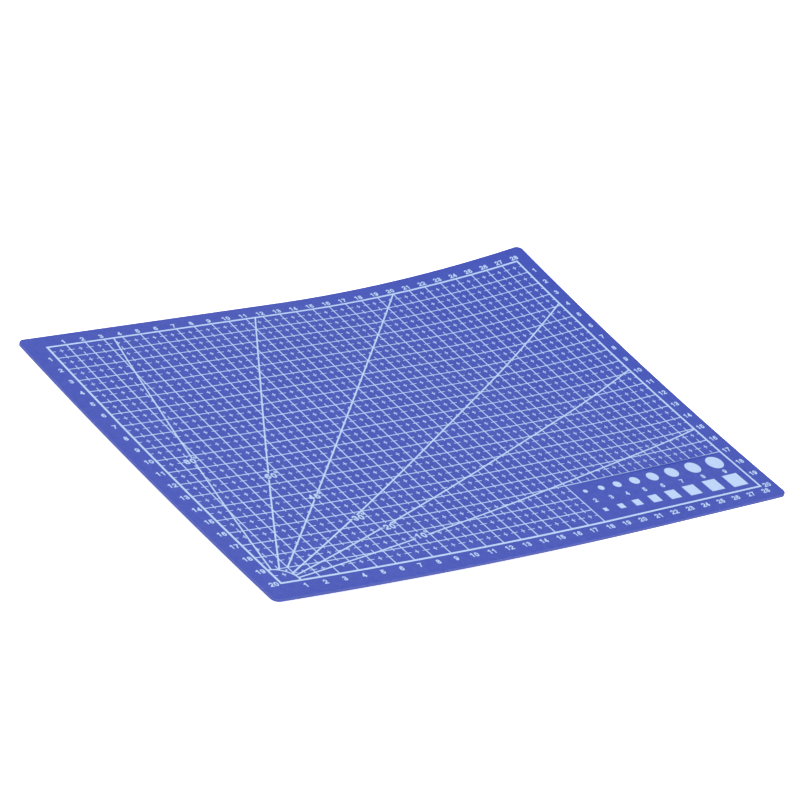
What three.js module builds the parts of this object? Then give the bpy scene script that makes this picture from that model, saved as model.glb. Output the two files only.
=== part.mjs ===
// Self-healing cutting mat: three plies bonded into one sheet, with a measuring grid printed
// on its top face. Millimetres, +Z up. The origin is the centre of the sheet, on its underside,
// where the mat lies flat on the bench. X runs along the 28 cm rule and Y along the 20 cm rule.

import * as THREE from 'three';

// Sheet
const SHEET_LENGTH = 300;
const SHEET_WIDTH = 220;
const CORNER_RADIUS = 3.5;
const CORNER_STEPS = 5;

// Plies, from the underside up, each parted from the next by a bond line
const HEALING_PLY = 0.4;
const CORE_PLY = 0.66;
const BOND_LINE = 0.02;
const SHEET_THICKNESS = 2 * (HEALING_PLY + BOND_LINE) + CORE_PLY;

// Two opposite corners lift off the bench, first the back right one and then the front left one,
// each curled around its own level axis. The band between them lies flat. A curl starts at a
// distance from the centre along its heading in degrees.
const CURLS = [
  { heading: 32.3, start: 53.6, radius: 570 },
  { heading: 224.3, start: 19.4, radius: 1540 },
];
const FACET = 8;

// Ink: a film just above the sheet, and a second pass over it for the angle lines
const INK = 0.05;
const INK_CLEARANCE = 0.03;
const FIRST_PASS = SHEET_THICKNESS + INK_CLEARANCE;
const SECOND_PASS = FIRST_PASS + INK + INK_CLEARANCE;

// Print layout: a grid of centimetre columns and rows, with a clear panel at its front right
// corner. The print sits a little off the sheet's centre and a fraction of a degree askew.
const CM = 10;
const COLUMNS = 28;
const ROWS = 20;
const PANEL = { left: 18, top: 3 };
const PRINT_SHIFT = new THREE.Vector2(0.5, 0);
const PRINT_TURN = -0.22;
const BORDER_LINE = 1.1;
const COLUMN_LINE = 0.58;
const ROW_LINE = 0.52;

// Angle lines fan out from a quarter arc around the front left corner. Each one breaks off
// around its label, which stands in a grid cell given by column and row. The 45 degree line has
// one more gap, between two distances from the corner, just outside the arc.
const ARC_RADIUS = 10.3;
const ARC_STEP = 5;
const ANGLE_LINE = 0.76;
const ANGLE_LINE_STEP = 10;
const ARC_OUTER_RADIUS = ARC_RADIUS + ANGLE_LINE / 2;
const LABEL_SHIFT = { x: 0.4, y: 0.7 };
const LABEL_SPACE = { width: 8.8, height: 4.4 };
const ANGLES = [
  { degrees: 10, column: 8, row: 1 },
  { degrees: 20, column: 7, row: 2 },
  { degrees: 30, column: 6, row: 3 },
  { degrees: 45, column: 5, row: 5, gap: { from: 12.1, to: 14 } },
  { degrees: 60, column: 4, row: 7 },
  { degrees: 80, column: 1, row: 9 },
];

// Hole and square gauges in the panel: nominal sizes, the ink's spread beyond them, centres from
// the panel's left line, and heights above the front border
const GAUGE_SIZES = [2, 3, 4, 5, 6, 7, 8, 9];
const INK_SPREAD = 0.4;
const GAUGE_CENTRES = [7.2, 17, 27, 38, 49.5, 62, 76, 90.5];
const CIRCLE_ROW = 23.4;
const SQUARE_ROW = 8.2;
const CIRCLE_STEPS = 24;

// Points closer together than this are one point
const TINY = 1e-6;

const MATERIALS = {
  healing: new THREE.MeshStandardMaterial({ color: 0x505fc0, roughness: 0.62, metalness: 0 }),
  core: new THREE.MeshStandardMaterial({ color: 0x414f9a, roughness: 0.75, metalness: 0 }),
  ink: new THREE.MeshStandardMaterial({ color: 0xc8dcff, roughness: 0.5, metalness: 0 }),
};

// ---------- plan geometry ----------

const radians = THREE.MathUtils.degToRad;

function direction(degrees) {
  return new THREE.Vector2(Math.cos(radians(degrees)), Math.sin(radians(degrees)));
}

// A point of the print, in millimetres from its front left corner, in the sheet's own plan
function printed(x, y) {
  const fromCentre = new THREE.Vector2(x - COLUMNS * CM / 2, y - ROWS * CM / 2);
  return fromCentre.rotateAround(new THREE.Vector2(), radians(PRINT_TURN)).add(PRINT_SHIFT);
}

function printedPolar(degrees, radius) {
  const point = direction(degrees).multiplyScalar(radius);
  return printed(point.x, point.y);
}

// Every outline here is convex and runs anticlockwise.
function sheetOutline() {
  const x = SHEET_LENGTH / 2 - CORNER_RADIUS;
  const y = SHEET_WIDTH / 2 - CORNER_RADIUS;
  const outline = new THREE.Shape();
  outline.absarc(x, y, CORNER_RADIUS, 0, Math.PI / 2);
  outline.absarc(-x, y, CORNER_RADIUS, Math.PI / 2, Math.PI);
  outline.absarc(-x, -y, CORNER_RADIUS, Math.PI, 1.5 * Math.PI);
  outline.absarc(x, -y, CORNER_RADIUS, 1.5 * Math.PI, 2 * Math.PI);
  return withoutRepeats(outline.getPoints(CORNER_STEPS));
}

function withoutRepeats(points) {
  return points.filter((point, i) => point.distanceTo(points.at(i - 1)) > TINY);
}

// Splits a tile along the line that lies at a distance from the centre along a heading.
function split(tile, along, distance) {
  const near = [];
  const far = [];
  tile.forEach((corner, i) => {
    const next = tile[(i + 1) % tile.length];
    const here = corner.dot(along) - distance;
    const there = next.dot(along) - distance;
    if (here <= 0) near.push(corner);
    if (here >= 0) far.push(corner);
    if (here * there < 0) {
      const cut = corner.clone().lerp(next, here / (here - there));
      near.push(cut);
      far.push(cut);
    }
  });
  return [near, far].filter((side) => side.length > 2);
}

// Splits tiles into the flat facets that a curled sheet is made of.
function facets(tiles) {
  for (const { heading, start } of CURLS) {
    const along = direction(heading);
    const reach = Math.hypot(SHEET_LENGTH, SHEET_WIDTH) / 2;
    for (let distance = start; distance < reach; distance += FACET) {
      tiles = tiles.flatMap((tile) => split(tile, along, distance));
    }
  }
  return tiles;
}

// ---------- solids ----------

// Where a point of the flat sheet goes once the corners are curled. The top face keeps its
// lengths, and each curl's radius is the top face's.
function curled(plan, height) {
  const point = new THREE.Vector3(plan.x, plan.y, height);
  for (const { heading, start, radius } of CURLS) {
    const along = direction(heading);
    const reach = plan.dot(along) - start;
    if (reach <= 0) continue;
    const axisHeight = radius + SHEET_THICKNESS;
    const turn = reach / radius;
    const arm = axisHeight - height;
    point.x += along.x * (arm * Math.sin(turn) - reach);
    point.y += along.y * (arm * Math.sin(turn) - reach);
    point.z = axisHeight - arm * Math.cos(turn);
  }
  return point;
}

function edgeName(from, to) {
  return [from.x, from.y, to.x, to.y].map((value) => value.toFixed(4)).join(' ');
}

// One closed solid between two heights, on tiles that meet edge to edge. A wall stands on each
// edge that only one tile has.
function slab(name, tiles, low, thickness, material) {
  const corners = [];
  const add = (...points) => points.forEach((point) => corners.push(...point));
  const edges = new Set();
  for (const tile of tiles) {
    tile.forEach((corner, i) => edges.add(edgeName(corner, tile[(i + 1) % tile.length])));
  }
  for (const tile of tiles) {
    const bottom = tile.map((corner) => curled(corner, low));
    const top = tile.map((corner) => curled(corner, low + thickness));
    for (let i = 1; i < tile.length - 1; i += 1) {
      add(top[0], top[i], top[i + 1]);
      add(bottom[0], bottom[i + 1], bottom[i]);
    }
    tile.forEach((corner, i) => {
      const j = (i + 1) % tile.length;
      if (edges.has(edgeName(tile[j], corner))) return;
      add(bottom[i], bottom[j], top[j]);
      add(bottom[i], top[j], top[i]);
    });
  }
  const geometry = new THREE.BufferGeometry();
  geometry.setAttribute('position', new THREE.Float32BufferAttribute(corners, 3));
  geometry.computeVertexNormals();
  const mesh = new THREE.Mesh(geometry, material);
  mesh.name = name;
  return mesh;
}

// ---------- laminate ----------

function laminate() {
  const sheet = facets([sheetOutline()]);
  const coreHeight = HEALING_PLY + BOND_LINE;
  const topHeight = coreHeight + CORE_PLY + BOND_LINE;
  return new THREE.Group().add(
    slab('bottom_healing_ply', sheet, 0, HEALING_PLY, MATERIALS.healing),
    slab('core_ply', sheet, coreHeight, CORE_PLY, MATERIALS.core),
    slab('top_healing_ply', sheet, topHeight, HEALING_PLY, MATERIALS.healing),
  );
}

// ---------- print ----------

// The bands across one rule: a line, the gap after it, the next line, and so on.
function bands(count, line) {
  const list = [];
  for (let i = 0; i <= count; i += 1) {
    const halfLine = (i === 0 || i === count ? BORDER_LINE : line) / 2;
    const from = i * CM - halfLine;
    const to = i * CM + halfLine;
    if (i > 0) list.push({ from: list.at(-1).to, to: from, isLine: false, place: i - 0.5 });
    list.push({ from, to, isLine: true, place: i });
  }
  return list;
}

function isInPanel(column, row) {
  const inside = (place, low, high) => place > low && place < high;
  return inside(column.place, PANEL.left, COLUMNS) && inside(row.place, 0, PANEL.top);
}

// The border and the centimetre lines, with the gauge panel left clear
function centimetreGrid() {
  const tiles = [];
  for (const column of bands(COLUMNS, COLUMN_LINE)) {
    for (const row of bands(ROWS, ROW_LINE)) {
      const isInked = (column.isLine || row.isLine) && !isInPanel(column, row);
      if (!isInked) continue;
      tiles.push([
        printed(column.from, row.from),
        printed(column.to, row.from),
        printed(column.to, row.to),
        printed(column.from, row.to),
      ]);
    }
  }
  return slab('centimetre_grid', tiles, FIRST_PASS, INK, MATERIALS.ink);
}

// A straight line of tiles at an angle, between two distances from the print's corner. Its
// first two corners can be given, where it grows out of another line.
function angleStrip(degrees, from, to, root) {
  const along = direction(degrees);
  const across = direction(degrees + 90).multiplyScalar(ANGLE_LINE / 2);
  const steps = Math.ceil((to - from) / ANGLE_LINE_STEP);
  const pairs = [];
  for (let i = 0; i <= steps; i += 1) {
    const centre = along.clone().multiplyScalar(from + (to - from) * i / steps);
    const right = centre.clone().sub(across);
    const left = centre.clone().add(across);
    pairs.push([printed(right.x, right.y), printed(left.x, left.y)]);
  }
  if (root) pairs[0] = root;
  return pairs.slice(1).map(([right, left], i) => [pairs[i][0], right, left, pairs[i][1]]);
}

// Distances from the corner at which an angle line reaches the border, and between which its
// label breaks it.
function angleLimits({ degrees, column, row }) {
  const along = direction(degrees);
  const x = (column + 0.5) * CM + LABEL_SHIFT.x;
  const y = (row + 0.5) * CM + LABEL_SHIFT.y;
  const { width, height } = LABEL_SPACE;
  return {
    end: Math.min(COLUMNS * CM / along.x, ROWS * CM / along.y),
    labelStart: Math.max((x - width / 2) / along.x, (y - height / 2) / along.y),
    labelEnd: Math.min((x + width / 2) / along.x, (y + height / 2) / along.y),
  };
}

// Angles at which the quarter arc has a pair of corners: its ends, both edges of each angle
// line, and enough others in between to keep it round
function arcStops() {
  const halfLine = THREE.MathUtils.radToDeg(Math.asin(ANGLE_LINE / 2 / ARC_OUTER_RADIUS));
  const edges = ANGLES.flatMap(({ degrees }) => [degrees - halfLine, degrees + halfLine]);
  const ends = [0, ...edges, 90];
  return ends.flatMap((from, i) => {
    const gap = (ends[i + 1] ?? from) - from;
    const isLine = i % 2 === 1;
    const steps = isLine ? 1 : Math.max(1, Math.round(gap / ARC_STEP));
    return Array.from({ length: steps }, (_, step) => from + gap * step / steps);
  });
}

// The quarter arc with the inner stretch of each angle line growing out of it
function protractorArc() {
  const stops = arcStops();
  const radii = [ARC_RADIUS - ANGLE_LINE / 2, ARC_OUTER_RADIUS];
  const pairs = stops.map((degrees) => radii.map((radius) => printedPolar(degrees, radius)));
  const arc = pairs.slice(1).map(([inner, outer], i) => [pairs[i][0], pairs[i][1], outer, inner]);
  const lines = ANGLES.flatMap((angle) => {
    const left = stops.findIndex((stop) => stop > angle.degrees);
    const root = [pairs[left - 1][1], pairs[left][1]];
    const end = angle.gap?.from ?? angleLimits(angle).labelStart;
    return angleStrip(angle.degrees, ARC_OUTER_RADIUS, end, root);
  });
  return slab('protractor_arc', [...arc, ...lines], SECOND_PASS, INK, MATERIALS.ink);
}

// The stretches of an angle line that don't touch the arc
function angleLines(angle) {
  const { labelStart, labelEnd, end } = angleLimits(angle);
  const name = `angle_line_${angle.degrees}`;
  const outer = angleStrip(angle.degrees, labelEnd, end);
  const lines = [slab(name, outer, SECOND_PASS, INK, MATERIALS.ink)];
  if (angle.gap) {
    const inner = angleStrip(angle.degrees, angle.gap.to, labelStart);
    lines.push(slab(`${name}_inner`, inner, SECOND_PASS, INK, MATERIALS.ink));
  }
  return lines;
}

function gaugeCircle(size, i) {
  const centre = printed(PANEL.left * CM + GAUGE_CENTRES[i], CIRCLE_ROW);
  const radius = (size + INK_SPREAD) / 2;
  const circle = new THREE.EllipseCurve(centre.x, centre.y, radius, radius);
  const outline = withoutRepeats(circle.getPoints(CIRCLE_STEPS));
  return slab(`circle_gauge_${size}_mm`, [outline], FIRST_PASS, INK, MATERIALS.ink);
}

function gaugeSquare(size, i) {
  const half = (size + INK_SPREAD) / 2;
  const x = PANEL.left * CM + GAUGE_CENTRES[i];
  const outline = [
    printed(x - half, SQUARE_ROW - half),
    printed(x + half, SQUARE_ROW - half),
    printed(x + half, SQUARE_ROW + half),
    printed(x - half, SQUARE_ROW + half),
  ];
  return slab(`square_gauge_${size}_mm`, [outline], FIRST_PASS, INK, MATERIALS.ink);
}

function print() {
  return new THREE.Group().add(
    centimetreGrid(),
    protractorArc(),
    ...ANGLES.flatMap(angleLines),
    ...GAUGE_SIZES.map(gaugeCircle),
    ...GAUGE_SIZES.map(gaugeSquare),
  );
}

const mat = new THREE.Group();
mat.name = 'self_healing_mat';
mat.add(laminate(), print());

export default mat;
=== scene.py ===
"""Looks of the self-healing cutting mat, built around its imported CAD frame.

Plan sizes and heights are in millimetres and Blender's objects are in metres. The plan of the
flat sheet has its origin at the sheet's centre, and the print has its own plan, which starts at
its front left corner. curled() takes a point of the flat sheet to its place on the curled mat.
"""

from collections import namedtuple
import math

import bmesh
import bpy
from mathutils import Matrix, Vector
from mathutils.geometry import delaunay_2d_cdt


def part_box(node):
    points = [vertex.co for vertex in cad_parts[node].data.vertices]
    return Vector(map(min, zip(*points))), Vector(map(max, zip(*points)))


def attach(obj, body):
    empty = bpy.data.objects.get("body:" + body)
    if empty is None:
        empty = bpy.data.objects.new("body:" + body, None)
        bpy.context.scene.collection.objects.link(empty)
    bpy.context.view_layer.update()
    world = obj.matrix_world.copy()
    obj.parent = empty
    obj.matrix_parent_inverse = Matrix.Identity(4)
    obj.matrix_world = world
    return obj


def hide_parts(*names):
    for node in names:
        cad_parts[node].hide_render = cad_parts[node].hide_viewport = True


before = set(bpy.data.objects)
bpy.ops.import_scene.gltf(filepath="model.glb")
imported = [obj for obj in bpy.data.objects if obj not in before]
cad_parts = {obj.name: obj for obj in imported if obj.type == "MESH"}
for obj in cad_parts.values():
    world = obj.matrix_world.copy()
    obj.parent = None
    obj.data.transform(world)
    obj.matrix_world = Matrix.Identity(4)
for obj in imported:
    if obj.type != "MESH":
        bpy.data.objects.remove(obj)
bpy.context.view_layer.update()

MM = 0.001
TINY = 1e-5

# Sheet
SHEET_LENGTH = 300
SHEET_WIDTH = 220
CORNER_RADIUS = 3.5
CORNER_STEPS = 14
RULING_STEP = 4

# Rims: the sheet's outer ones, those between the plies, and the flat strip beside each of them
EDGE_ROUNDING = 0.2
PLY_EDGE_ROUNDING = 0.05
ROUNDING_STEPS = 3
EDGE_SUPPORT = 0.8

# Gap between the plies, gap below each film of ink, and the film's thickness
BOND_LINE = 0.02
INK_CLEARANCE = 0.03
INK = 0.05


def cad_base(node):
    """Height of a CAD node's lowest point, in millimetres."""
    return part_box(node)[0].z / MM


# Heights from the frame
CORE_BASE = cad_base("core_ply")
TOP_PLY_BASE = cad_base("top_healing_ply")
FIRST_PASS = cad_base("centimetre_grid")
SECOND_PASS = FIRST_PASS + INK + INK_CLEARANCE
SHEET_THICKNESS = FIRST_PASS - INK_CLEARANCE

# Two corners lift off the bench. Each is curled around a level axis: (heading in degrees,
# distance from the centre at which the curl starts, radius of the top face)
CURLS = (
    (32.3, 53.6, 570),
    (224.3, 19.4, 1540),
)

# Print layout. The print sits a little off the sheet's centre and a fraction of a degree askew.
CM = 10
COLUMNS = 28
ROWS = 20
PRINT_CENTRE = Vector((COLUMNS, ROWS)) * CM / 2
PRINT_SHIFT = Vector((0.5, 0))
PRINT_TURN = -0.22
PANEL_LEFT = 18
PANEL_TOP = 3
BORDER_LINE = 1.1
COLUMN_LINE = 0.58
ROW_LINE = 0.52

# Half-centimetre marks, printed by a screen that sits a little off the grid's. Their strokes
# along Y come out longer and heavier than those along X.
MARK_SHIFT = Vector((0.25, 0.6))
STROKE_ALONG_X = 0.36
STROKE_ALONG_Y = 0.46
TICK_ALONG_X = 3.8
TICK_ALONG_Y = 3.6
CROSS_ALONG_X = 2.2
CROSS_ALONG_Y = 2.5

# Numbers: each digit's height and width over the ink, the pitch from one digit to the next, and
# the width of the stroke
Lettering = namedtuple("Lettering", "height width pitch stroke")
RULE_LETTERING = Lettering(3, 2.1, 2.4, 0.62)
LABEL_LETTERING = Lettering(3.8, 2.75, 3.2, 0.85)
GAUGE_LETTERING = Lettering(2.9, 2.1, 2.4, 0.6)
ARC_STEP = 15

# Distances of the rule numbers' centres from the border
ABOVE_TOP = 2.85
BELOW_BOTTOM = 3.8
LEFT_OF_BORDER = 3.65
RIGHT_OF_BORDER = 4.3

# Angle labels, each in a grid cell given by column and row, with a degree sign at a place
# measured from the number's centre
LABEL_CELLS = {10: (8, 1), 20: (7, 2), 30: (6, 3), 45: (5, 5), 60: (4, 7), 80: (1, 9)}
LABEL_SHIFT = Vector((-0.1, 0.8))
DEGREE_PLACE = Vector((3.9, 2.2))
DEGREE_RADIUS = 0.6
DEGREE_STROKE = 0.55

# Gauges
GAUGE_SIZES = range(2, 10)
CIRCLE_STEPS = 64


# ---------- shape of the mat ----------

def curled(x, y, height):
    """Place, in metres, of a point of the flat sheet once two corners are curled up."""
    plan = Vector((x, y))
    point = Vector((x, y, height))
    for heading, start, radius in CURLS:
        angle = math.radians(heading)
        along = Vector((math.cos(angle), math.sin(angle)))
        reach = plan.dot(along) - start
        if reach <= 0:
            continue
        axis_height = radius + SHEET_THICKNESS
        turn = reach / radius
        arm = axis_height - height
        point.xy += along * (arm * math.sin(turn) - reach)
        point.z = axis_height - arm * math.cos(turn)
    return point * MM


def new_piece(name, mesh, material):
    """Puts a mesh into the scene as a piece of the mat."""
    mesh.materials.append(material)
    piece = bpy.data.objects.new(name, mesh)
    bpy.context.scene.collection.objects.link(piece)
    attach(piece, "root")
    return piece


# ---------- plies ----------

def sheet_ring(inset):
    """Plan of the sheet's outline, anticlockwise, moved inward by an inset."""
    radius = CORNER_RADIUS - inset
    right = SHEET_LENGTH / 2 - CORNER_RADIUS
    back = SHEET_WIDTH / 2 - CORNER_RADIUS
    ring = []
    for quarter, (x, y) in enumerate(((right, back), (-right, back), (-right, -back), (right, -back))):
        for step in range(CORNER_STEPS + 1):
            angle = math.radians(90) * (quarter + step / CORNER_STEPS)
            ring.append((x + radius * math.cos(angle), y + radius * math.sin(angle)))
    return ring


def edge_profile(base, top, base_rounding, top_rounding):
    """(inset, height) steps up the cut edge, from the lower face to the upper one. The first
    and last steps keep the faces flat beside the rounded rims."""
    profile = [(base_rounding + EDGE_SUPPORT, base)]
    for step in range(ROUNDING_STEPS + 1):
        angle = math.radians(90) * step / ROUNDING_STEPS
        inset = base_rounding * (1 - math.sin(angle))
        profile.append((inset, base + base_rounding * (1 - math.cos(angle))))
    for step in range(ROUNDING_STEPS + 1):
        angle = math.radians(90) * step / ROUNDING_STEPS
        inset = top_rounding * (1 - math.cos(angle))
        profile.append((inset, top - top_rounding * (1 - math.sin(angle))))
    profile.append((top_rounding + EDGE_SUPPORT, top))
    return profile


def split_along_rulings(sheet):
    """Cuts a flat sheet along the straight lines that stay straight when it curls."""
    reach = math.hypot(SHEET_LENGTH, SHEET_WIDTH) / 2
    for heading, start, _ in CURLS:
        angle = math.radians(heading)
        along = Vector((math.cos(angle), math.sin(angle), 0))
        for step in range(math.ceil((reach - start) / RULING_STEP)):
            parts = sheet.verts[:] + sheet.edges[:] + sheet.faces[:]
            place = along * (start + step * RULING_STEP)
            bmesh.ops.bisect_plane(sheet, geom=parts, dist=TINY, plane_co=place, plane_no=along)


def ply(name, base, top, base_rounding, top_rounding, material):
    """One ply of the laminate: a closed sheet with rounded rims, curled at two corners."""
    sheet = bmesh.new()
    rings = []
    for inset, height in edge_profile(base, top, base_rounding, top_rounding):
        rings.append([sheet.verts.new((x, y, height)) for x, y in sheet_ring(inset)])
    for lower, upper in zip(rings, rings[1:]):
        for i in range(len(lower)):
            sheet.faces.new((lower[i - 1], lower[i], upper[i], upper[i - 1]))
    sheet.faces.new(reversed(rings[0]))
    sheet.faces.new(rings[-1])
    split_along_rulings(sheet)
    for vertex in sheet.verts:
        vertex.co = curled(*vertex.co)
    mesh = bpy.data.meshes.new(name)
    sheet.to_mesh(mesh)
    sheet.free()
    mesh.shade_smooth()
    return new_piece(name, mesh, material)


def laminate(healing, core):
    """The three bonded plies, in place of the CAD plies."""
    bottom = ply("bottom_healing_sheet", 0, CORE_BASE - BOND_LINE,
                 EDGE_ROUNDING, PLY_EDGE_ROUNDING, healing)
    middle = ply("core_sheet", CORE_BASE, TOP_PLY_BASE - BOND_LINE,
                 PLY_EDGE_ROUNDING, PLY_EDGE_ROUNDING, core)
    top = ply("top_healing_sheet", TOP_PLY_BASE, SHEET_THICKNESS,
              PLY_EDGE_ROUNDING, EDGE_ROUNDING, healing)
    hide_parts("bottom_healing_ply")
    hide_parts("core_ply")
    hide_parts("top_healing_ply")


# ---------- ink ----------

def union(outlines):
    """Points and triangles that cover a set of overlapping outlines once."""
    points = []
    faces = []
    for outline in outlines:
        faces.append(list(range(len(points), len(points) + len(outline))))
        points += outline
    points, _, triangles, _, _, sources = delaunay_2d_cdt(points, [], faces, 0, TINY)
    return points, [triangle for triangle, source in zip(triangles, sources) if source]


def printed(point):
    """Place on the flat sheet of a point of the print."""
    return Matrix.Rotation(math.radians(PRINT_TURN), 2) @ (point - PRINT_CENTRE) + PRINT_SHIFT


def film(name, marks, base, material):
    """A closed film of ink. Each mark is a list of outlines in the print's plan."""
    vertices = []
    faces = []
    for outlines in marks:
        points, triangles = union(outlines)
        first = len(vertices)
        above = len(points)
        for height in (base, base + INK):
            vertices += [curled(*printed(point), height) for point in points]
        edges = {(a, b) for t in triangles for a, b in zip(t, t[1:] + t[:1])}
        for a, b, c in triangles:
            faces.append((first + a + above, first + b + above, first + c + above))
            faces.append((first + c, first + b, first + a))
        for a, b in sorted(edges):
            if (b, a) not in edges:
                faces.append((first + a, first + b, first + b + above, first + a + above))
    mesh = bpy.data.meshes.new(name)
    mesh.from_pydata(vertices, [], faces)
    return new_piece(name, mesh, material)


def bar(left, bottom, right, top):
    """Outline of an upright rectangle."""
    return [Vector((left, bottom)), Vector((right, bottom)), Vector((right, top)), Vector((left, top))]


def centred_bar(x, y, width, height):
    """Outline of an upright rectangle around its centre."""
    return bar(x - width / 2, y - height / 2, x + width / 2, y + height / 2)


def grid_lines():
    """The heavy border and the centimetre lines, which stop at the gauge panel."""
    right = COLUMNS * CM + BORDER_LINE / 2
    back = ROWS * CM + BORDER_LINE / 2
    for column in range(COLUMNS + 1):
        half = (BORDER_LINE if column in (0, COLUMNS) else COLUMN_LINE) / 2
        front = PANEL_TOP * CM if PANEL_LEFT < column < COLUMNS else -BORDER_LINE / 2
        yield bar(column * CM - half, front, column * CM + half, back)
    for row in range(ROWS + 1):
        half = (BORDER_LINE if row in (0, ROWS) else ROW_LINE) / 2
        end = PANEL_LEFT * CM if 0 < row < PANEL_TOP else right
        yield bar(-BORDER_LINE / 2, row * CM - half, end, row * CM + half)


def tick_marks():
    """Half-centimetre ticks across the lines. Round the borders and the gauge panel they point
    only into the grid."""
    for row in range(ROWS):
        y = (row + 0.5) * CM + MARK_SHIFT.y
        last = PANEL_LEFT if row < PANEL_TOP else COLUMNS
        for column in range(last + 1):
            x = column * CM + MARK_SHIFT.x
            left = x - TICK_ALONG_X / 2 if column > 0 else x
            right = x + TICK_ALONG_X / 2 if column < last else x
            yield bar(left, y - STROKE_ALONG_X / 2, right, y + STROKE_ALONG_X / 2)
    for column in range(COLUMNS):
        x = (column + 0.5) * CM + MARK_SHIFT.x
        first = PANEL_TOP if column >= PANEL_LEFT else 1
        for row in range(first, ROWS):
            y = row * CM + MARK_SHIFT.y
            bottom = y if row == PANEL_TOP and column >= PANEL_LEFT else y - TICK_ALONG_Y / 2
            yield bar(x - STROKE_ALONG_Y / 2, bottom, x + STROKE_ALONG_Y / 2, y + TICK_ALONG_Y / 2)


def centre_crosses():
    """A small cross in the middle of each grid cell that holds nothing else."""
    for column in range(COLUMNS):
        for row in range(ROWS):
            is_in_panel = column >= PANEL_LEFT and row < PANEL_TOP
            if is_in_panel or (column, row) in LABEL_CELLS.values():
                continue
            x, y = Vector((column + 0.5, row + 0.5)) * CM + MARK_SHIFT
            yield [centred_bar(x, y, CROSS_ALONG_X, STROKE_ALONG_X),
                   centred_bar(x, y, STROKE_ALONG_Y, CROSS_ALONG_Y)]


# ---------- numbers ----------

def arc(x, y, radius_x, radius_y, start, end):
    """Points along an ellipse between two angles in degrees."""
    steps = math.ceil(abs(end - start) / ARC_STEP)
    angles = [math.radians(start + (end - start) * i / steps) for i in range(steps + 1)]
    return [(x + radius_x * math.cos(angle), y + radius_y * math.sin(angle)) for angle in angles]


def half_turn(strokes):
    """Strokes turned upside down."""
    return [[(1 - x, 1 - y) for x, y in stroke] for stroke in strokes]


# Centre lines of the digits' strokes, in a box one unit wide and one unit high
SIX = [arc(0.5, 0.31, 0.5, 0.31, 0, 360), arc(0.62, 0.45, 0.62, 0.55, 180, 55)]
DIGITS = {
    "0": [arc(0.5, 0.5, 0.5, 0.5, 0, 360)],
    "1": [[(0.62, 0), (0.62, 1)], [(0.55, 0.92), (0.15, 0.76)]],
    "2": [arc(0.5, 0.7, 0.48, 0.3, 170, -30) + [(0.1, 0.07)], [(0, 0), (1, 0)]],
    "3": [arc(0.48, 0.75, 0.44, 0.25, 165, -90), arc(0.5, 0.26, 0.5, 0.26, 90, -165)],
    "4": [[(0.62, 0.93), (0.08, 0.33)], [(0, 0.25), (1, 0.25)], [(0.72, 0), (0.72, 1)]],
    "5": [[(0.95, 1), (0.18, 1), (0.08, 0.5)], arc(0.48, 0.32, 0.5, 0.32, 120, -160)],
    "6": SIX,
    "7": [[(0, 1), (1, 1)], [(0.93, 0.93), (0.6, 0.5), (0.38, 0.03)]],
    "8": [arc(0.5, 0.26, 0.5, 0.26, 0, 360), arc(0.5, 0.76, 0.44, 0.24, 0, 360)],
    "9": half_turn(SIX),
}


def ribbon(path, width):
    """Four-sided outlines that give a path a width, with square ends on an open path."""
    ahead = [(there - here).normalized() for here, there in zip(path, path[1:])]
    is_closed = (path[0] - path[-1]).length < TINY
    arriving = [ahead[-1] if is_closed else ahead[0]] + ahead
    leaving = ahead + [ahead[0] if is_closed else ahead[-1]]
    sides = []
    for point, before, after in zip(path, arriving, leaving):
        along = (before + after).normalized()
        across = Vector((-along.y, along.x)) * (width / 2 / along.dot(after))
        sides.append([point - across, point + across])
    if not is_closed:
        sides[0] = [side - ahead[0] * width / 2 for side in sides[0]]
        sides[-1] = [side + ahead[-1] * width / 2 for side in sides[-1]]
    return [[right, next_right, next_left, left]
            for (right, left), (next_right, next_left) in zip(sides, sides[1:])]


def number(text, x, y, lettering):
    """Outlines of a number centred on a point of the print."""
    height, width, pitch, stroke = lettering
    left = x - (width + pitch * (len(text) - 1)) / 2 + stroke / 2
    bottom = y - height / 2 + stroke / 2
    outlines = []
    for place, digit in enumerate(text):
        for path in DIGITS[digit]:
            points = [Vector((left + place * pitch + across * (width - stroke),
                              bottom + up * (height - stroke))) for across, up in path]
            outlines += ribbon(points, stroke)
    return outlines


def rule_numbers():
    """Centimetre numbers along all four borders. The side rules count down from the back."""
    for column in range(1, COLUMNS + 1):
        x = column * CM
        yield number(str(column), x, ROWS * CM + ABOVE_TOP, RULE_LETTERING)
        yield number(str(column), x, -BELOW_BOTTOM, RULE_LETTERING)
    for row in range(ROWS):
        y = row * CM
        text = str(ROWS - row)
        yield number(text, -LEFT_OF_BORDER, y, RULE_LETTERING)
        yield number(text, COLUMNS * CM + RIGHT_OF_BORDER, y, RULE_LETTERING)


def angle_labels():
    """Degrees beside the angle lines, each in a cell of its own."""
    for degrees, (column, row) in LABEL_CELLS.items():
        x = (column + 0.5) * CM + LABEL_SHIFT.x
        y = (row + 0.5) * CM + LABEL_SHIFT.y
        yield number(str(degrees), x, y, LABEL_LETTERING)
        sign = arc(x + DEGREE_PLACE.x, y + DEGREE_PLACE.y, DEGREE_RADIUS, DEGREE_RADIUS, 0, 360)
        yield ribbon([Vector(point) for point in sign], DEGREE_STROKE)


def gauge_place(node):
    """Centre, in the print's plan, and half the width of a CAD gauge. The sheet is flat there."""
    low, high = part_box(node)
    centre = ((low + high) / 2 / MM).xy
    unturned = Matrix.Rotation(math.radians(-PRINT_TURN), 2) @ (centre - PRINT_SHIFT)
    return unturned + PRINT_CENTRE, (high.x - low.x) / 2 / MM


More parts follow.
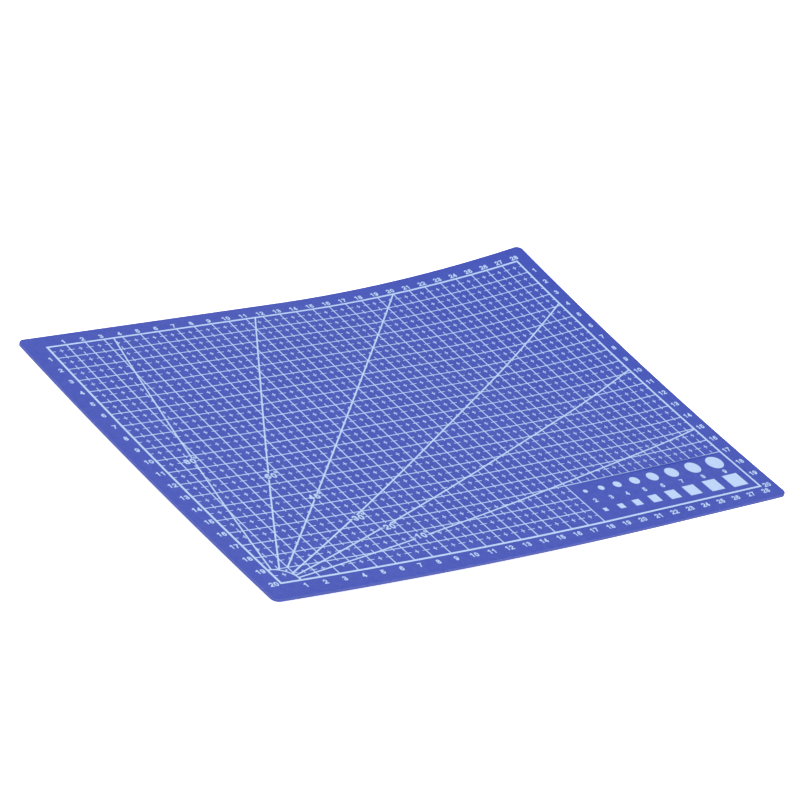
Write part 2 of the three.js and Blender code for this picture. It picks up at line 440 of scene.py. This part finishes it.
def gauge_circles():
    """Filled circles on the places of the CAD circles."""
    step = 2 * math.pi / CIRCLE_STEPS
    for size in GAUGE_SIZES:
        centre, radius = gauge_place(f"circle_gauge_{size}_mm")
        yield [[centre + radius * Vector((math.cos(i * step), math.sin(i * step)))
                for i in range(CIRCLE_STEPS)]]


def gauge_numbers():
    """Each gauge's size, between its circle and its square."""
    for size in GAUGE_SIZES:
        circle, _ = gauge_place(f"circle_gauge_{size}_mm")
        square, _ = gauge_place(f"square_gauge_{size}_mm")
        middle = (circle + square) / 2
        yield number(str(size), middle.x, middle.y, GAUGE_LETTERING)


def printed_marks(ink):
    """All the ink: new films for what the CAD leaves out or facets, and the CAD films for the rest."""
    grid = film("grid_and_ticks", [[*grid_lines(), *tick_marks()]], FIRST_PASS, ink)
    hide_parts("centimetre_grid")
    film("centre_crosses", centre_crosses(), FIRST_PASS, ink)
    film("rule_numbers", rule_numbers(), FIRST_PASS, ink)
    film("angle_labels", angle_labels(), SECOND_PASS, ink)
    circles = film("gauge_circles", gauge_circles(), FIRST_PASS, ink)
    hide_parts(*[f"circle_gauge_{size}_mm" for size in GAUGE_SIZES])
    film("gauge_numbers", gauge_numbers(), FIRST_PASS, ink)
    for name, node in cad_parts.items():
        if name.startswith(("protractor_arc", "angle_line", "square_gauge")):
            node.material_slots[0].material = ink


# ---------- materials ----------

# Features per metre
GRAIN = 3200
CLOUDS = 30
DRAG_LINES = 900
FLOOR_CLOUDS = 1.5

# Relief in millimetres
GRAIN_RELIEF = 0.03
DRAG_RELIEF = 0.04
INK_RELIEF = 0.015

# How far drag lines are drawn out, how far pebbles run into each other, and the range that holds
# most of a noise's values
DRAG_STRETCH = 10
PEBBLE_BLEND = 0.3
NOISE_LOW = 0.3
NOISE_HIGH = 0.7


class Shader:
    """A principled material and short calls that add nodes to it."""

    def __init__(self, name):
        self.material = bpy.data.materials.new(name)
        self.material.use_nodes = True
        self.tree = self.material.node_tree
        self.surface = self.tree.nodes["Principled BSDF"]
        self.place = self.node("ShaderNodeTexCoord").outputs["Object"]

    def node(self, kind, **settings):
        """Adds a node and sets its options, such as a sum's operation."""
        node = self.tree.nodes.new(kind)
        for name, value in settings.items():
            setattr(node, name, value)
        return node

    def fill(self, socket, value):
        """Links a socket to an output, or sets it to a value."""
        if isinstance(value, bpy.types.NodeSocket):
            self.tree.links.new(value, socket)
        else:
            socket.default_value = value

    def noise(self, scale, detail=2, place=None):
        """Noise from 0 to 1, with a scale in features per metre."""
        node = self.node("ShaderNodeTexNoise")
        self.fill(node.inputs["Vector"], place or self.place)
        self.fill(node.inputs["Scale"], scale)
        self.fill(node.inputs["Detail"], detail)
        return node.outputs["Fac"]

    def pebbles(self, scale):
        """Low domes, 1 on top and near 0 in the pits, with a scale in domes per metre."""
        node = self.node("ShaderNodeTexVoronoi", feature="SMOOTH_F1")
        self.fill(node.inputs["Vector"], self.place)
        self.fill(node.inputs["Scale"], scale)
        self.fill(node.inputs["Smoothness"], PEBBLE_BLEND)
        return self.maths("SUBTRACT", 1, node.outputs["Distance"])

    def drag_lines(self):
        """Upright streaks that the cutting die leaves on a cut edge, from 0 to 1."""
        node = self.node("ShaderNodeMapping")
        self.fill(node.inputs["Vector"], self.place)
        self.fill(node.inputs["Scale"], (1, 1, 1 / DRAG_STRETCH))
        return self.noise(DRAG_LINES, place=node.outputs["Vector"])

    def spread(self, factor, low=0, high=1):
        """Maps a factor's middle range, where noise has most of its values, to low and high."""
        node = self.node("ShaderNodeMapRange")
        self.fill(node.inputs["Value"], factor)
        self.fill(node.inputs["From Min"], NOISE_LOW)
        self.fill(node.inputs["From Max"], NOISE_HIGH)
        self.fill(node.inputs["To Min"], low)
        self.fill(node.inputs["To Max"], high)
        return node.outputs["Result"]

    def mix(self, factor, low, high):
        """A colour between two colours."""
        node = self.node("ShaderNodeMix", data_type="RGBA")
        self.fill(node.inputs["Factor"], factor)
        self.fill(node.inputs["A"], low)
        self.fill(node.inputs["B"], high)
        return node.outputs["Result"]

    def maths(self, operation, first, second=0):
        """One sum on one or two values."""
        node = self.node("ShaderNodeMath", operation=operation)
        self.fill(node.inputs[0], first)
        self.fill(node.inputs[1], second)
        return node.outputs["Value"]

    def bump(self, height, depth):
        """Surface relief from a 0 to 1 height, with its depth in millimetres."""
        node = self.node("ShaderNodeBump")
        self.fill(node.inputs["Height"], height)
        self.fill(node.inputs["Distance"], depth * MM)
        self.fill(self.surface.inputs["Normal"], node.outputs["Normal"])

    def finish(self, colour, roughness):
        """Sets the surface's colour and roughness and returns the material."""
        self.fill(self.surface.inputs["Base Color"], colour)
        self.fill(self.surface.inputs["Roughness"], roughness)
        return self.material

    def cut_edge(self):
        """1 on the cut edge, 0 on the faces, told apart by how far the surface leans over. It places
        the edge colour, which holds painted shade.
        """
        normal = self.node("ShaderNodeNewGeometry").outputs["Normal"]
        parts = self.node("ShaderNodeSeparateXYZ")
        self.fill(parts.inputs["Vector"], normal)
        level = self.maths("ABSOLUTE", parts.outputs["Z"])
        return self.spread(self.maths("SUBTRACT", 1, level))


def linear(red, green, blue):
    """Colour for a node, from 0 to 255 values as a screen shows them."""
    parts = [(value / 255 + 0.055) / 1.055 for value in (red, green, blue)]
    return (*[part ** 2.4 for part in parts], 1)


def healing_pvc():
    """Blue PVC: a fine matte pebble grain with painted shade in its pits, faint clouds in the pigment,
    and a cut edge with drag lines from the cutting die, greyer as its own colour and darker as
    painted shade on the upright wall."""
    shader = Shader("healing_pvc")
    pebbles = shader.pebbles(GRAIN)
    clouds = shader.spread(shader.noise(CLOUDS))
    face = shader.mix(clouds, linear(57, 79, 184), linear(62, 84, 191))
    # Painted shade: the grain's pits are coloured darker, as shade would make them.
    face = shader.mix(shader.spread(pebbles), linear(46, 65, 168), face)
    drag = shader.spread(shader.drag_lines())
    # Cut edge colour: greyer as the edge's own colour, and darker as painted shade on the upright
    # wall.
    edge = shader.mix(drag, linear(54, 67, 146), linear(72, 86, 164))
    shader.bump(shader.maths("ADD", pebbles, shader.noise(3 * GRAIN)), GRAIN_RELIEF)
    roughness = shader.spread(shader.noise(10 * CLOUDS), 0.5, 0.62)
    return shader.finish(shader.mix(shader.cut_edge(), face, edge), roughness)


def core_pvc():
    """Harder, darker PVC, seen only as a line round the edge, with the die's drag lines."""
    shader = Shader("core_pvc")
    drag = shader.drag_lines()
    colour = shader.mix(shader.spread(drag), linear(46, 58, 130), linear(59, 72, 148))
    shader.bump(drag, DRAG_RELIEF)
    return shader.finish(colour, shader.spread(drag, 0.6, 0.8))


def screen_ink():
    """Pale blue screen ink: uneven in density, with painted shade in the pits of the grain below it.
    """
    shader = Shader("screen_ink")
    pebbles = shader.pebbles(GRAIN)
    density = shader.noise(4 * CLOUDS, detail=3)
    colour = shader.mix(shader.spread(density), linear(188, 212, 245), linear(195, 218, 248))
    # Painted shade: the ink is coloured darker in the grain's pits.
    colour = shader.mix(shader.spread(pebbles), linear(176, 200, 240), colour)
    shader.bump(pebbles, INK_RELIEF)
    return shader.finish(colour, shader.spread(density, 0.42, 0.52))


def light_table():
    """Plain white floor that glows faintly, as a light table does to lose the shadows."""
    shader = Shader("light_table")
    clouds = shader.noise(FLOOR_CLOUDS)
    colour = shader.mix(clouds, linear(250, 250, 250), linear(253, 253, 253))
    shader.fill(shader.surface.inputs["Emission Color"], colour)
    shader.fill(shader.surface.inputs["Emission Strength"], FLOOR_GLOW)
    return shader.finish(colour, 0.9)


# ---------- studio ----------

# Floor: its width in metres, the gap in millimetres that keeps it clear of the mat, and its glow
FLOOR_SIZE = 8
FLOOR_GAP = 0.1
FLOOR_GLOW = 0.9

# The surroundings are a backdrop that fades into a dim ceiling, between two heights given as the
# sines of their angles above the floor
BACKDROP_TOP = 0.42
CEILING_BASE = 0.62
BACKDROP_STRENGTH = 1.1
CEILING_STRENGTH = 0.15

# One large softbox high above the camera's side, in degrees, metres and watts
SOFTBOX_ELEVATION = 70
SOFTBOX_DISTANCE = 3
SOFTBOX_SIZE = 2.5
SOFTBOX_POWER = 80

# Camera, in degrees and metres, with its lens in millimetres and its shift in picture widths
CAMERA_TARGET = Vector((*PRINT_SHIFT, SHEET_THICKNESS)) * MM
CAMERA_AZIMUTH = -43.46
CAMERA_ELEVATION = 30.16
CAMERA_ROLL = 14.9
CAMERA_DISTANCE = 1.095
CAMERA_LENS = 104.7
CAMERA_SHIFT = (-0.0128, 0.0228)


def direction(azimuth, elevation):
    """Unit vector from the mat. Azimuth 0 is towards the front, 90 towards the right."""
    azimuth = math.radians(azimuth)
    elevation = math.radians(elevation)
    level = math.cos(elevation)
    return Vector((math.sin(azimuth) * level, -math.cos(azimuth) * level, math.sin(elevation)))


def studio_floor():
    """A wide floor just below the mat."""
    size = FLOOR_SIZE / 2
    mesh = bpy.data.meshes.new("floor")
    corners = [(-size, -size, 0), (size, -size, 0), (size, size, 0), (-size, size, 0)]
    mesh.from_pydata(corners, [], [(0, 1, 2, 3)])
    mesh.materials.append(light_table())
    floor = bpy.data.objects.new("floor", mesh)
    floor.location.z = -FLOOR_GAP * MM
    bpy.context.scene.collection.objects.link(floor)


def softbox():
    """A square light overhead that faces the mat."""
    light = bpy.data.lights.new("softbox", "AREA")
    light.size = SOFTBOX_SIZE
    light.energy = SOFTBOX_POWER
    lamp = bpy.data.objects.new("softbox", light)
    towards = direction(CAMERA_AZIMUTH, SOFTBOX_ELEVATION)
    lamp.location = towards * SOFTBOX_DISTANCE
    lamp.rotation_mode = "QUATERNION"
    lamp.rotation_quaternion = towards.to_track_quat("Z", "Y")
    bpy.context.scene.collection.objects.link(lamp)


def surroundings():
    """White light from all round, strong from low down and weak from above."""
    world = bpy.data.worlds.new("studio")
    world.use_nodes = True
    nodes = world.node_tree.nodes
    links = world.node_tree.links
    height = nodes.new("ShaderNodeSeparateXYZ")
    strength = nodes.new("ShaderNodeMapRange")
    strength.inputs["From Min"].default_value = BACKDROP_TOP
    strength.inputs["From Max"].default_value = CEILING_BASE
    strength.inputs["To Min"].default_value = BACKDROP_STRENGTH
    strength.inputs["To Max"].default_value = CEILING_STRENGTH
    links.new(nodes.new("ShaderNodeTexCoord").outputs["Generated"], height.inputs["Vector"])
    links.new(height.outputs["Z"], strength.inputs["Value"])
    links.new(strength.outputs["Result"], nodes["Background"].inputs["Strength"])
    nodes["Background"].inputs["Color"].default_value = (1, 1, 1, 1)
    bpy.context.scene.world = world


def studio_camera():
    """Camera at the photograph's angle, with colours shown as they are lit."""
    data = bpy.data.cameras.new("camera")
    data.lens = CAMERA_LENS
    data.shift_x, data.shift_y = CAMERA_SHIFT
    back = direction(CAMERA_AZIMUTH, CAMERA_ELEVATION)
    place = Matrix.Translation(CAMERA_TARGET + back * CAMERA_DISTANCE)
    turn = back.to_track_quat("Z", "Y").to_matrix().to_4x4()
    camera = bpy.data.objects.new("camera", data)
    camera.matrix_world = place @ turn @ Matrix.Rotation(math.radians(CAMERA_ROLL), 4, "Z")
    bpy.context.scene.collection.objects.link(camera)
    bpy.context.scene.camera = camera
    bpy.context.scene.view_settings.view_transform = "Standard"


laminate(healing_pvc(), core_pvc())
printed_marks(screen_ink())
studio_floor()
softbox()
surroundings()
studio_camera()
